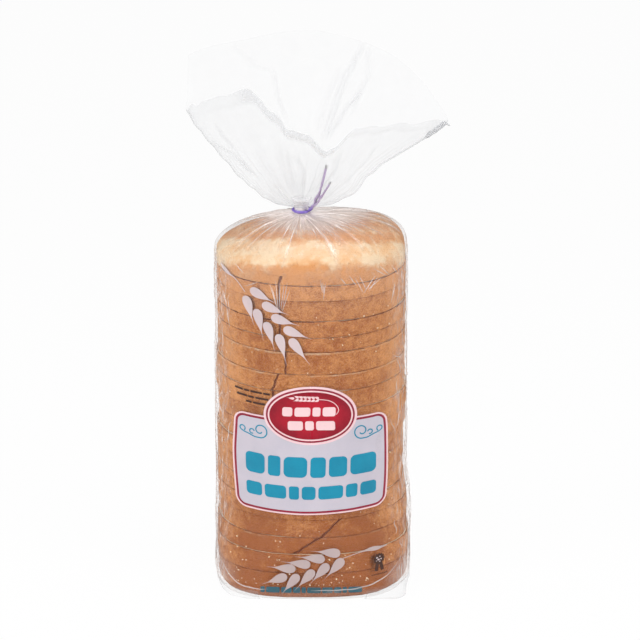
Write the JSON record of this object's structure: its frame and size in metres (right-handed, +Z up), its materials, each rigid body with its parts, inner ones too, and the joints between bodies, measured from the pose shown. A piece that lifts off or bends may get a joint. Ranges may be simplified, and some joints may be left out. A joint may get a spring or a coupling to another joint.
{
  "type": "sliced loaf in a clear bread bag",
  "caption": "Sliced white loaf standing on its heel in a clear printed film bag, gathered and twist-tied at the top with the loose film fanned out.",
  "frame": {"origin": "middle of the flat face that the bag stands on, under the middle of the loaf", "axes": "+Z up, along the loaf from its lower heel to the tie; -Y is the front, the domed crust with the print; +X to the right seen from the front"},
  "size_m": [0.1888, 0.109, 0.3886],
  "materials": {
    "clear_film": "thin glossy clear film",
    "crust": "dry, slightly satin baked crust",
    "crumb": "soft, porous, matt",
    "print_white": "ink on film, satin",
    "print_red": "ink on film, satin",
    "print_teal": "ink on film, satin",
    "print_dark": "ink on film, satin",
    "coated_wire": "paper and plastic coated wire, satin"
  },
  "bodies": {
    "root": {"bread_bag": "clear_film", "twist_tie": "coated_wire"}
  },
  "joints": []
}
